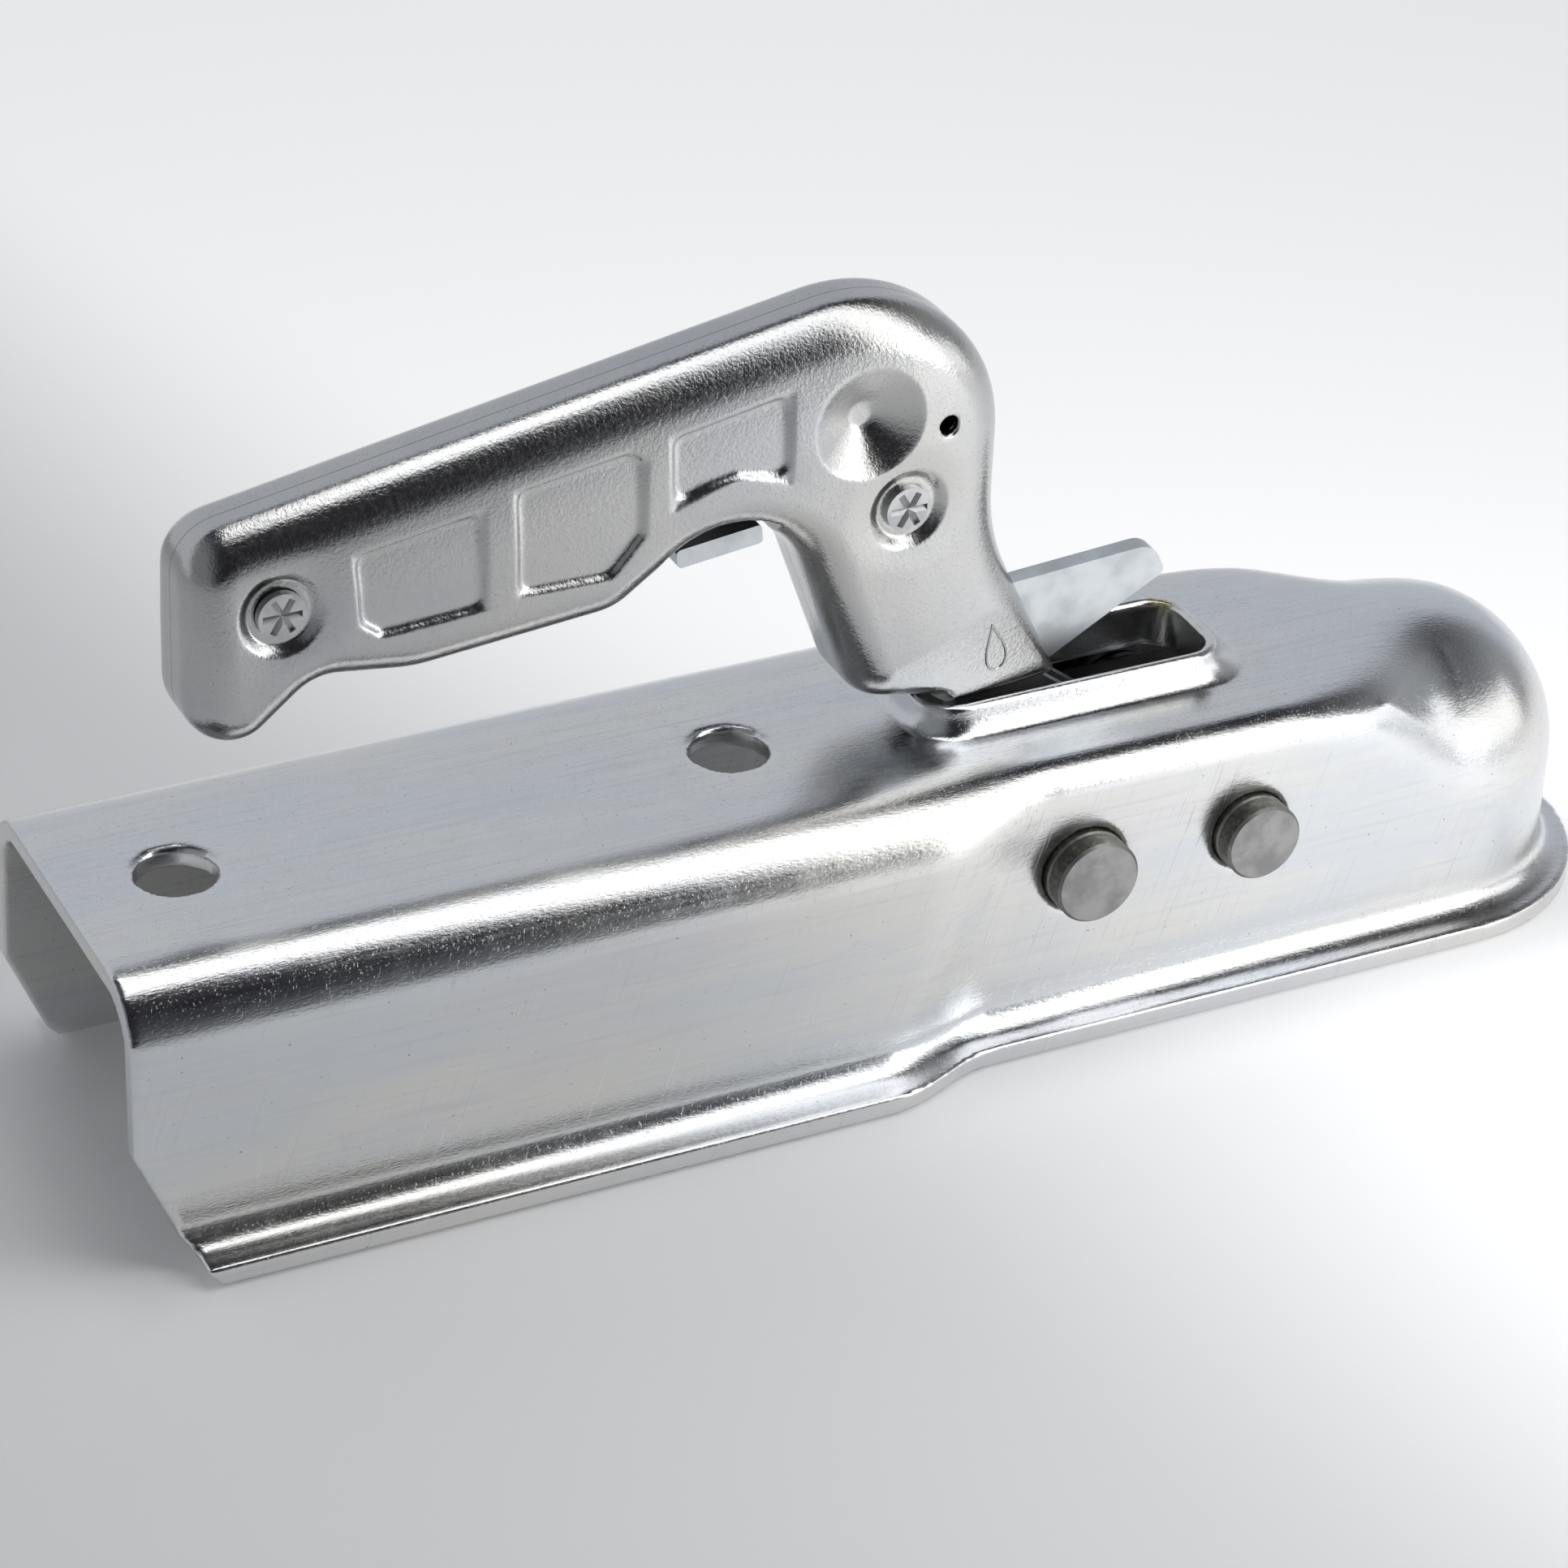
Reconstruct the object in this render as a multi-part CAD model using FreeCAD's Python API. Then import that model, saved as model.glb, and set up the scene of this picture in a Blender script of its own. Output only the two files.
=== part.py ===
import FreeCAD, Part
import math
import os

# Trailer coupling head for a 50 mm towing ball, on a 60 mm square drawbar.
# Millimetres. The origin is the centre of the towing ball, +X points to the nose,
# +Z is up and +Y is the far side of the photograph.
V = FreeCAD.Vector

# Towing ball and pressed sheet
BALL_D = 50.0
SEAT_CLEAR = 0.5
SHEET = 4.0
RIM_DROP = 24.5
CORNER_R = 12.5
FRONT_CORNER_R = 6.0
BEND_R = 5.0
FRONT_FLANGE = 6.5

# Rear channel that takes the drawbar
DRAWBAR = 60.0
DRAWBAR_CLEAR = 0.25
REAR_FLANGE = 8.3
REAR_LENGTH = 260.0
CUT_TOP_Z = -1.7
CUT_MID_X = 7.2
CUT_MID_Z = -18.5
CUT_RIM_X = 11.7
BOLT_HOLE_D = 14.0
BOLT_SPACING = 101.5
BOLT_REAR_EDGE = 20.4

# Step between the wide rear and the narrow front
STEP_START = -124.0
STEP_END = -102.0
STEP_SLANT = 0.24
SHOULDER_START = -29.0
SHOULDER_CROWN = 0.6
LOFT_STEPS = 4

# Slot in the top with its upturned collar
SLOT_BEHIND = 54.4
SLOT_AHEAD = 2.0
SLOT_DEPTH_ON_PAD = 12.0
SLOT_R = 5.5
COLLAR_T = 2.0
COLLAR_H = 5.5
COLLAR_FLARE = 2.0
COLLAR_NOSE = 3.4
COLLAR_STEPS = 3

# Cross pins
PIN_Z = 8.3
FRONT_PIN_X = -48.4
FRONT_PIN_D = 14.7
PIN_SPACING = 33.6
LATCH_PIN_D = 16.0
PIN_STICK_OUT = 5.0
PIN_CHAMFER = 0.5
STAKE_GROOVE = 0.35
STAKE_OUT = 0.5
PRESS_GAP = 0.03
RUN_GAP = 0.06

# Handle shells
HANDLE_HALF = 11.0
SHELL_T = 2.2
EDGE_R = 7.5
SEAM_GAP = 0.06
PANEL_DEPTH = 0.7
FOOT_DROP = 27.0
FOOT_SIDE_GAP = 0.2
FOOT_BEVEL = 1.3
FOOT_DEPTH = 1.2
COLLAR_CLEAR = 0.4
LEG_RIVET_X = -62.8
LEG_RIVET_Z = 68.2
GRIP_RIVET_X = -175.9
GRIP_RIVET_Z = 72.0
RIVET_D = 6.0
RIVET_HEAD_D = 8.4
RIVET_HEAD_H = 1.5
STAR_GROOVE = 0.9
STAR_RIM = 0.8
DIMPLE_R = 7.4
DIMPLE_RAMP = 2.4
DIMPLE_DEPTH = 1.9
DENT_GROW = 0.6
CONE_X = -71.1
CONE_Z = 86.1
CONE_R = 10.2
CONE_TIP_R = 2.2
CONE_DEPTH = 4.4
DRAIN_X = -55.9
DRAIN_Z = 82.8
DRAIN_D = 3.6

# Lever plates inside the handle leg
CAM_T = 2.6
CAM_INNER = 2.4
HUB_R = 13.0
CAM_WASHER_T = 2.0
CAM_SIDE_GAP = 0.05
DRIVE_DROP = 13.0
DRIVE_PIN_D = 6.0
DRIVE_CLEAR = 0.45
FORK_HALF = 7.5
FORK_REACH = 19.5
HANDLE_TRAVEL = 50.0

# Finger lever
LEVER_T = 3.5
LEVER_PAD_WIDTH = 9.7
LEVER_CLEAR = 0.6
HOOK_CLEAR = 0.7
HOOK_LIP = 2.0
BUSH_D = 10.0

# Ball jaw
JAW_CLEAR = 0.4
JAW_T = 4.2
JAW_SIDE_INNER = 10.2
JAW_SIDE_T = 3.6
JAW_HALF_W = 23.5
JAW_TOP = 1.0
JAW_NOTCH_HALF = 7.0
JAW_NOTCH_TOP = -7.0
JAW_LOW = -19.0
JAW_FRONT = -9.0
JAW_EDGE = 12.5
SLIDE_CLEAR = 0.3

# Springs and sleeves
LATCH_SLEEVE_T = 3.0
END_CLEAR = 0.3
WIRE_SIDES = 8
SPRING_WIRE = 1.8
SPRING_LOOSE = 0.4
SPRING_TOUCH = 0.15
SPRING_TURNS = 4
SPRING_WALL_GAP = 1.8
SPRING_SIDE_GAP = 2.2
SPRING_TAIL = 2.0
DRIVE_END = 1.2
DRIVE_CHAMFER = 0.6
LEVER_WIRE = 1.2
LEVER_LOOSE = 0.3
LEVER_COIL_LOW = 2.75
LEVER_COIL_HIGH = 6.1
LEVER_TURNS = 2
LEVER_START_ANGLE = 120.0
LEVER_END_ANGLE = 70.0
LEVER_SHELL_TAIL = 21.0
LEVER_HOOK_TAIL = 27.7
LEVER_CROSS = 1.5

# Past every side of the part: how far a cut reaches
WIDE = 100.0

# Worked out from the sizes above
BALL_R = BALL_D / 2.0
DOME_R = BALL_R + SEAT_CLEAR + SHEET
TOP_Z = DOME_R
RIM_Z = -RIM_DROP
FRONT_HALF = DOME_R
INSIDE_HALF = FRONT_HALF - SHEET
REAR_HALF = DRAWBAR / 2.0 + DRAWBAR_CLEAR + SHEET
LATCH_PIN_X = FRONT_PIN_X - PIN_SPACING
SLOT_REAR = FRONT_PIN_X - SLOT_BEHIND
SLOT_FRONT = FRONT_PIN_X + SLOT_AHEAD
FOOT_HALF = CAM_INNER + CAM_T + FOOT_SIDE_GAP + SHELL_T
PAD_TAPER = (HANDLE_HALF - FOOT_HALF) / FOOT_DROP
SLOT_HALF = HANDLE_HALF - PAD_TAPER * SLOT_DEPTH_ON_PAD
NECK_Z = TOP_Z + COLLAR_H + COLLAR_CLEAR - PIN_Z
HALF_ANGLE = math.radians(HANDLE_TRAVEL / 2.0)
JAW_TRAVEL = 2.0 * DRIVE_DROP * math.tan(HALF_ANGLE)
DRIVE_X = FRONT_PIN_X + JAW_TRAVEL / 2.0
DRIVE_Z = PIN_Z - DRIVE_DROP
HOOK_R = PIN_SPACING + LATCH_PIN_D / 2.0 + HOOK_CLEAR
SIDE_OUTER = JAW_SIDE_INNER + JAW_SIDE_T
SPRING_OUTER_Y = INSIDE_HALF - SPRING_WALL_GAP
SPRING_LEG_Y = SIDE_OUTER + SPRING_SIDE_GAP
LEG_X = FRONT_PIN_X + LEG_RIVET_X
LEG_Z = PIN_Z + LEG_RIVET_Z
GRIP_X = FRONT_PIN_X + GRIP_RIVET_X
GRIP_Z = PIN_Z + GRIP_RIVET_Z
FLOOR_Y = HANDLE_HALF - SHELL_T - DIMPLE_DEPTH


def rounded(points):
    """Closed wire in the XZ plane: corners (x, z, radius) joined by lines and arcs."""
    count = len(points)
    starts = []
    arcs = []
    for i in range(count):
        x, z, radius = points[i]
        corner = V(x, 0, z)
        before = V(points[i - 1][0], 0, points[i - 1][1])
        after = V(points[(i + 1) % count][0], 0, points[(i + 1) % count][1])
        if radius == 0:
            starts.append((corner, corner))
            arcs.append(None)
            continue
        u = (before - corner).normalize()
        w = (after - corner).normalize()
        half = math.acos(max(-1.0, min(1.0, u.dot(w)))) / 2.0
        reach = radius / math.tan(half)
        a = corner + u * reach
        b = corner + w * reach
        bisector = (u + w).normalize()
        middle = corner + bisector * (radius / math.sin(half) - radius)
        starts.append((a, b))
        arcs.append(Part.Arc(a, middle, b).toShape())
    edges = []
    for i in range(count):
        if arcs[i] is not None:
            edges.append(arcs[i])
        leave = starts[i][1]
        arrive = starts[(i + 1) % count][0]
        if leave.distanceToPoint(arrive) > 1e-6:
            edges.append(Part.LineSegment(leave, arrive).toShape())
    return Part.Wire(Part.__sortEdges__(edges))


def plate(points, y_low, y_high):
    """Flat plate with a rounded outline, between two Y levels."""
    face = Part.Face(rounded(points))
    face.translate(V(0, y_low, 0))
    return face.extrude(V(0, y_high - y_low, 0))


def rod(radius, x, z, y_low, y_high):
    """Round bar along Y."""
    return Part.makeCylinder(radius, y_high - y_low, V(x, y_low, z), V(0, 1, 0))


def tube(inner, outer, x, z, y_low, y_high):
    """Sleeve along Y."""
    return rod(outer, x, z, y_low, y_high).cut(rod(inner, x, z, y_low - 1, y_high + 1))


def rod_slot(radius, x_low, x_high, z, y_low, y_high):
    """Round-ended slot along X, through a plate that stands across Y."""
    ends = [rod(radius, x, z, y_low, y_high) for x in (x_low, x_high)]
    middle = Part.makeBox(x_high - x_low, y_high - y_low, 2 * radius, V(x_low, y_low, z - radius))
    return middle.multiFuse(ends).removeSplitter()


def mirrored(shape):
    """The far-side copy of a near-side piece."""
    return shape.mirror(V(0, 0, 0), V(0, 1, 0))


def half_profile(half, corner, flange):
    """Sheet section in Y and Z from the rim tip up to the top, as edges at x = 0."""
    z0 = RIM_Z
    step = math.sqrt(0.5)
    bend = BEND_R
    cy = half + bend
    cz = z0 + SHEET + bend
    ty = half - corner
    tz = TOP_Z - corner
    inner_bend = bend + SHEET
    inner_corner = corner - SHEET
    outer = [
        Part.LineSegment(V(0, half + flange, z0), V(0, half + flange, z0 + SHEET)),
        Part.LineSegment(V(0, half + flange, z0 + SHEET), V(0, cy, z0 + SHEET)),
        Part.Arc(V(0, cy, z0 + SHEET), V(0, cy - bend * step, cz - bend * step), V(0, half, cz)),
        Part.LineSegment(V(0, half, cz), V(0, half, tz)),
        Part.Arc(V(0, half, tz), V(0, ty + corner * step, tz + corner * step), V(0, ty, TOP_Z)),
    ]
    wall = half - SHEET
    inner = [
        Part.Arc(V(0, ty, TOP_Z - SHEET), V(0, ty + inner_corner * step, tz + inner_corner * step),
                 V(0, wall, tz)),
        Part.LineSegment(V(0, wall, tz), V(0, wall, cz)),
        Part.Arc(V(0, wall, cz), V(0, cy - inner_bend * step, cz - inner_bend * step), V(0, cy, z0)),
        Part.LineSegment(V(0, cy, z0), V(0, half + flange, z0)),
    ]
    return [e.toShape() for e in outer], [e.toShape() for e in inner]


def full_section(x, half, corner, flange, slant):
    """Closed wire of the whole sheet section, leaning along X by slant."""
    outer, inner = half_profile(half, corner, flange)
    flip = [mirrored(e) for e in outer]
    flip_inner = [mirrored(e) for e in inner]
    ty = half - corner
    top = Part.LineSegment(V(0, ty, TOP_Z), V(0, -ty, TOP_Z)).toShape()
    roof = Part.LineSegment(V(0, -ty, TOP_Z - SHEET), V(0, ty, TOP_Z - SHEET)).toShape()
    edges = outer + [top] + flip[::-1] + flip_inner[::-1] + [roof] + inner
    wire = Part.Wire(edges)
    if slant:
        lean = FreeCAD.Matrix()
        lean.A13 = slant
        lean.A14 = -slant * RIM_Z
        wire = wire.transformGeometry(lean)
    wire.translate(V(x, 0, 0))
    return wire


def eased(t):
    """Smooth step from 0 to 1."""
    return t * t * (3.0 - 2.0 * t)


def straight(x_low, x_high, half, corner, flange, lean_low, lean_high):
    """Straight length of the channel, its ends square or leaning like the side step."""
    spare = STEP_SLANT * (TOP_Z - RIM_Z) + 1.0
    start = x_low - spare if lean_low else x_low
    length = x_high + spare - start
    bar = Part.Face(full_section(start, half, corner, flange, 0)).extrude(V(length, 0, 0))
    ends = [(x_low, -1, lean_low), (x_high, 1, lean_high)]
    for x, side, leaning in ends:
        lean = STEP_SLANT if leaning else 0.0
        low = V(x - lean, -WIDE, RIM_Z - 1.0)
        high = V(x + lean * (TOP_Z - RIM_Z + 1.0), -WIDE, TOP_Z + 1.0)
        away = V(side * 4 * spare, 0, 0)
        outline = Part.makePolygon([low, high, high + away, low + away, low])
        bar = bar.cut(Part.Face(outline).extrude(V(0, 2 * WIDE, 0)))
    return bar


def pressed_channel():
    """Rear channel, side step, front box, shoulders and dome, all one sheet."""
    channel = straight(-REAR_LENGTH, STEP_START, REAR_HALF, CORNER_R, REAR_FLANGE, False, True)
    box = straight(STEP_END, SHOULDER_START, FRONT_HALF, FRONT_CORNER_R, FRONT_FLANGE, True, False)
    rings = []
    for i in range(LOFT_STEPS + 1):
        t = i / LOFT_STEPS
        s = eased(t)
        half = REAR_HALF + (FRONT_HALF - REAR_HALF) * s
        corner = CORNER_R + (FRONT_CORNER_R - CORNER_R) * s
        flange = REAR_FLANGE + (FRONT_FLANGE - REAR_FLANGE) * s
        x = STEP_START + (STEP_END - STEP_START) * t
        rings.append(full_section(x, half, corner, flange, STEP_SLANT))
    step = Part.makeLoft(rings, True, False)
    rings = []
    dome_corner = FRONT_HALF - SHOULDER_CROWN
    for i in range(LOFT_STEPS + 1):
        t = i / LOFT_STEPS
        corner = FRONT_CORNER_R + (dome_corner - FRONT_CORNER_R) * eased(t)
        x = SHOULDER_START * (1.0 - t)
        rings.append(full_section(x, FRONT_HALF, corner, FRONT_FLANGE, 0))
    shoulders = Part.makeLoft(rings, True, False)
    outer, inner = half_profile(FRONT_HALF, dome_corner, FRONT_FLANGE)
    middle = FRONT_HALF - dome_corner
    cap = [
        Part.LineSegment(V(0, middle, TOP_Z), V(0, 0, TOP_Z)).toShape(),
        Part.LineSegment(V(0, 0, TOP_Z), V(0, 0, TOP_Z - SHEET)).toShape(),
        Part.LineSegment(V(0, 0, TOP_Z - SHEET), V(0, middle, TOP_Z - SHEET)).toShape(),
    ]
    nose = Part.Face(Part.Wire(outer + cap + inner)).revolve(V(0, 0, 0), V(0, 0, 1), -180)
    return channel.multiFuse([step, box, shoulders, nose])


def slot_outline(grow, nose, z):
    """Rounded rectangle of the top slot, grown on all sides and more at the nose."""
    x0 = SLOT_REAR - grow
    x1 = SLOT_FRONT + grow + nose
    y = SLOT_HALF + grow
    r = SLOT_R + grow
    corners = [(x0, -y, r), (x1, -y, r), (x1, y, r), (x0, y, r)]
    wire = rounded(corners)
    wire.rotate(V(0, 0, 0), V(1, 0, 0), -90)
    wire = wire.mirror(V(0, 0, 0), V(0, 1, 0))
    wire.translate(V(0, 0, z))
    return wire


def collar():
    """Flange drawn up round the slot: upright at its rim, spreading out to the top face."""
    rings = []
    for i in range(COLLAR_STEPS + 1):
        t = i / COLLAR_STEPS
        out = (1.0 - t) ** 2
        rings.append(slot_outline(COLLAR_T + COLLAR_FLARE * out, COLLAR_NOSE * out, TOP_Z + COLLAR_H * t))
    return Part.makeLoft(rings, True, False)


def coupling_body():
    """The pressed housing with its rear cut, bolt holes, top slot and pin bores."""
    body = pressed_channel()
    back = -REAR_LENGTH
    cut = [(back - WIDE, WIDE, 0), (back, WIDE, 0), (back, CUT_TOP_Z, 0),
           (back + CUT_MID_X, CUT_MID_Z, 0), (back + CUT_RIM_X, RIM_Z, 0),
           (back + CUT_RIM_X, -WIDE, 0), (back - WIDE, -WIDE, 0)]
    body = body.cut(plate(cut, -WIDE, WIDE))
    sunk = SHEET / 4.0
    base = Part.Face(slot_outline(COLLAR_T + COLLAR_FLARE, COLLAR_NOSE, TOP_Z - sunk))
    body = body.multiFuse([collar(), base.extrude(V(0, 0, sunk))])
    body = body.cut(Part.Face(slot_outline(0, 0, 0)).extrude(V(0, 0, WIDE)))
    for x in (back + BOLT_REAR_EDGE, back + BOLT_REAR_EDGE + BOLT_SPACING):
        body = body.cut(Part.makeCylinder(BOLT_HOLE_D / 2.0, WIDE, V(x, 0, 0)))
    for diameter, x in ((FRONT_PIN_D, FRONT_PIN_X), (LATCH_PIN_D, LATCH_PIN_X)):
        body = body.cut(rod(diameter / 2.0 + PRESS_GAP, x, PIN_Z, -WIDE, WIDE))
    return body


def turned(half, x, z):
    """Bar turned about Y at (x, z), from its half outline (radius, y), alike on both sides."""
    outline = Part.makePolygon([V(x + r, y, z) for r, y in half + half[:1]])
    side = Part.Face(outline).revolve(V(x, 0, z), V(0, 1, 0), 360)
    return side.fuse(mirrored(side)).removeSplitter()


def cross_pin(diameter, x):
    """Plain pin through both walls, with a chamfer and a staking groove at each end."""
    reach = FRONT_HALF + PIN_STICK_OUT
    radius = diameter / 2.0
    groove = STAKE_GROOVE
    seat = FRONT_HALF + STAKE_OUT
    half = [(0, 0), (radius, 0), (radius, seat), (radius - groove, seat + groove),
            (radius - groove, seat + 2 * groove), (radius, seat + 3 * groove),
            (radius, reach - PIN_CHAMFER), (radius - PIN_CHAMFER, reach), (0, reach)]
    return turned(half, x, PIN_Z)


# Handle side outline and panels: X and Z from the front pin, with corner radii
HANDLE_OUTLINE = [
    (-191.1, 85.2, 9.0), (-43.6, 112.5, 29.5), (-43.3, 57.0, 40.0), (-15.8, 1.7, 8.0),
    (-36.0, 1.7, 8.0), (-53.6, NECK_Z, 1.5), (-69.5, NECK_Z + 3.2, 9.0), (-87.6, 78.4, 16.0),
    (-115.6, 58.05, 12.0), (-152.1, 54.7, 25.0), (-169.0, 57.0, 8.0), (-183.9, 44.5, 8.0),
    (-191.1, 53.2, 8.0),
]
FOOT_Z = NECK_Z - FOOT_DEPTH
PANELS = [
    [(-163.3, 80.1, 2.5), (-141.0, 83.7, 2.5), (-140.5, 66.1, 2.5), (-150.0, 65.4, 8.0),
     (-159.0, 64.9, 3.0), (-162.6, 67.9, 3.0)],
    [(-135.1, 85.9, 2.5), (-114.8, 89.3, 2.5), (-112.3, 87.3, 2.0), (-112.3, 73.9, 3.0),
     (-118.0, 67.1, 3.0), (-134.8, 67.2, 2.5)],
    [(-107.4, 90.3, 2.5), (-85.8, 94.6, 2.5), (-85.7, 78.3, 2.5), (-95.5, 83.2, 20.0),
     (-107.3, 77.4, 2.5)],
]
CAM_ARM = [
    (-55.6, 51.7, 4.0), (-43.6, 49.2, 3.0), (-30.9, 25.6, 4.0), (-12.1, 11.7, 3.0),
    (0.0, 0.0, 0), (-8.6, -6.3, 3.0), (-47.6, 25.7, 4.0), (-59.6, 35.7, 4.0),
]
CREASE_X = -63.6
CREASE_Z = 37.2
CREASE_ANGLE = math.radians(21.0)

# Finger lever from the front pin: the web, whose front corner meets the hook, and the bent pad
HOOK_LEAN = math.radians(31.0)
LEVER_WEB = [
    (-104.8, 66.5, 1.0), (-105.2, 76.0, 2.0), (-77.6, 85.5, 10.0), (-54.5, 80.0, 9.0),
    (-48.2, 55.0, 8.0), (-45.8, 43.0, 3.0), (-8.2, 45.6, 4.5), (-5.4, 39.6, 1.5),
    (-HOOK_R * math.cos(HOOK_LEAN), HOOK_R * math.sin(HOOK_LEAN), HOOK_LIP),
    (-43.0, -12.0, 1.0), (-47.6, -11.0, 2.5), (-49.5, 8.0, 25.0), (-45.0, 27.0, 12.0),
    (-58.0, 45.0, 10.0), (-70.0, 66.0, 10.0), (-88.2, 71.8, 4.0), (-89.2, 68.0, 1.0),
]
LEVER_PAD = [(-104.6, 64.2, 0.8), (-88.9, 66.1, 0.8), (-89.3, 69.6, 0.8), (-105.0, 67.7, 0.8)]

# Clear rooms inside the handle for the lever: X and Z from the front pin, length and height
HOOK_ROOM = (-58.0, 20.0, 12.0, 20.0)
TONGUE_ROOM = (-46.0, 22.0, 25.0, 27.0)
PAD_ROOM = (-107.5, 61.7, 21.4, 11.5)


def placed(points):
    """Outline points moved from the front pin to the model frame."""
    return [(x + FRONT_PIN_X, z + PIN_Z, r) for x, z, r in points]


def pressed_half(inset, edge):
    """Half of the handle volume: the outline drawn in by inset, with a rounded edge."""
    wire = rounded(placed(HANDLE_OUTLINE))
    if inset:
        wire = wire.makeOffset2D(-inset)
    depth = HANDLE_HALF - inset
    solid = Part.Face(wire).extrude(V(0, -depth, 0))
    rim = [e for e in solid.Edges
           if abs(e.BoundBox.YMin + depth) < 1e-4 and abs(e.BoundBox.YMax + depth) < 1e-4]
    solid = solid.makeFillet(edge, rim)
    foot = Part.makeBox(2 * WIDE, 2 * WIDE, WIDE, V(FRONT_PIN_X - WIDE, -WIDE, PIN_Z + FOOT_Z - WIDE))
    return solid.cut(foot).cut(taper_wedge(inset))


def taper_wedge(inset):
    """What the sloping pad on the lower leg takes off the side face."""
    along = V(math.cos(CREASE_ANGLE), 0, math.sin(CREASE_ANGLE))
    down = V(math.sin(CREASE_ANGLE), 0, -math.cos(CREASE_ANGLE))
    start = V(FRONT_PIN_X + CREASE_X, 0, PIN_Z + CREASE_Z)
    reach = 2.0 * FOOT_DROP
    side = HANDLE_HALF - inset
    rows = [(0, side), (reach, side - reach * PAD_TAPER), (reach, side + SHELL_T), (0, side + SHELL_T)]
    corners = [start + down * s + V(0, -y, 0) - along * reach for s, y in rows]
    return Part.Face(Part.makePolygon(corners + corners[:1])).extrude(along * (2 * reach))


def foot_bevel():
    """Bevel along the bottom edge of the pad, parallel to that edge."""
    low = PIN_Z + FOOT_Z
    x = FRONT_PIN_X + CREASE_X
    drop = (PIN_Z + CREASE_Z - low) * math.cos(CREASE_ANGLE)
    y = PAD_TAPER * drop - HANDLE_HALF
    out = SHELL_T
    corners = [V(x, y + FOOT_BEVEL + out, low - out), V(x, y - out, low - out),
               V(x, y - out, low + FOOT_BEVEL + out)]
    along = V(1.0, PAD_TAPER * math.sin(CREASE_ANGLE), 0)
    return Part.Face(Part.makePolygon(corners + corners[:1])).extrude(along * (2 * FOOT_DROP))


def dent(x, z, r_face, r_floor, depth, inset):
    """Cone pressed into the side face; the inside copy is larger by the sheet."""
    side = HANDLE_HALF - inset
    grow = DENT_GROW * inset
    return Part.makeCone(r_face + grow, r_floor + grow, depth, V(x, -side, z), V(0, 1, 0))


def clear_room(room, depth):
    """Box that leaves room inside the near shell, as deep as given from the middle."""
    x, z, length, height = room
    return Part.makeBox(length, depth, height, V(FRONT_PIN_X + x, -depth, PIN_Z + z))


def handle_shell(pad_gap):
    """Pressed near-side shell: rolled edge, panels, dents, taper pad and openings."""
    outer = pressed_half(0, EDGE_R)
    inner = pressed_half(SHELL_T, EDGE_R - SHELL_T)
    cone_x = FRONT_PIN_X + CONE_X
    cone_z = PIN_Z + CONE_Z
    spots = [(LEG_X, LEG_Z, DIMPLE_R, DIMPLE_R - DIMPLE_RAMP, DIMPLE_DEPTH),
             (GRIP_X, GRIP_Z, DIMPLE_R, DIMPLE_R - DIMPLE_RAMP, DIMPLE_DEPTH),
             (cone_x, cone_z, CONE_R, CONE_TIP_R, CONE_DEPTH)]
    for x, z, r_face, r_floor, depth in spots:
        outer = outer.cut(dent(x, z, r_face, r_floor, depth, 0))
        inner = inner.cut(dent(x, z, r_face, r_floor, depth, SHELL_T))
    shell = outer.cut(inner).cut(foot_bevel())
    shell = shell.cut(Part.makeBox(4 * WIDE, WIDE, 4 * WIDE, V(-3 * WIDE, -SEAM_GAP, -WIDE)))
    for panel in PANELS:
        shell = shell.cut(plate(placed(panel), -WIDE, -HANDLE_HALF + PANEL_DEPTH))
    for x, z in ((LEG_X, LEG_Z), (GRIP_X, GRIP_Z)):
        shell = shell.cut(rod(RIVET_D / 2.0 + PRESS_GAP, x, z, -WIDE, 0))
    shell = shell.cut(rod(DRAIN_D / 2.0, FRONT_PIN_X + DRAIN_X, PIN_Z + DRAIN_Z, -WIDE, 0))
    cam_room = Part.Face(rounded(placed(CAM_ARM)).makeOffset2D(END_CLEAR))
    shell = shell.cut(cam_room.extrude(V(0, -CAM_INNER - CAM_T - END_CLEAR, 0)))
    half_lever = LEVER_T / 2.0 + LEVER_CLEAR
    for room, depth in ((HOOK_ROOM, half_lever), (TONGUE_ROOM, half_lever), (PAD_ROOM, pad_gap)):
        shell = shell.cut(clear_room(room, depth))
    return shell


def star_rivet(x, z):
    """Rivet through both shells, its heads formed into six-pointed stars."""
    seat = HANDLE_HALF - DIMPLE_DEPTH
    top = seat + RIVET_HEAD_H
    head_r = RIVET_HEAD_D / 2.0
    rivet = rod(RIVET_D / 2.0, x, z, -seat, seat)
    for side in (-1, 1):
        low = min(side * seat, side * top)
        rivet = rivet.fuse(rod(head_r, x, z, low, low + RIVET_HEAD_H))
        for i in range(3):
            inside = head_r - STAR_RIM
            groove = Part.makeBox(2 * inside, STAR_GROOVE, STAR_GROOVE,
                                  V(-inside, -STAR_GROOVE / 2.0, -STAR_GROOVE / 2.0))
            groove.rotate(V(0, 0, 0), V(1, 0, 0), 45)
            groove.rotate(V(0, 0, 0), V(0, 1, 0), 60 * i)
            groove.translate(V(x, side * top, z))
            rivet = rivet.cut(groove)
    return rivet


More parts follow.
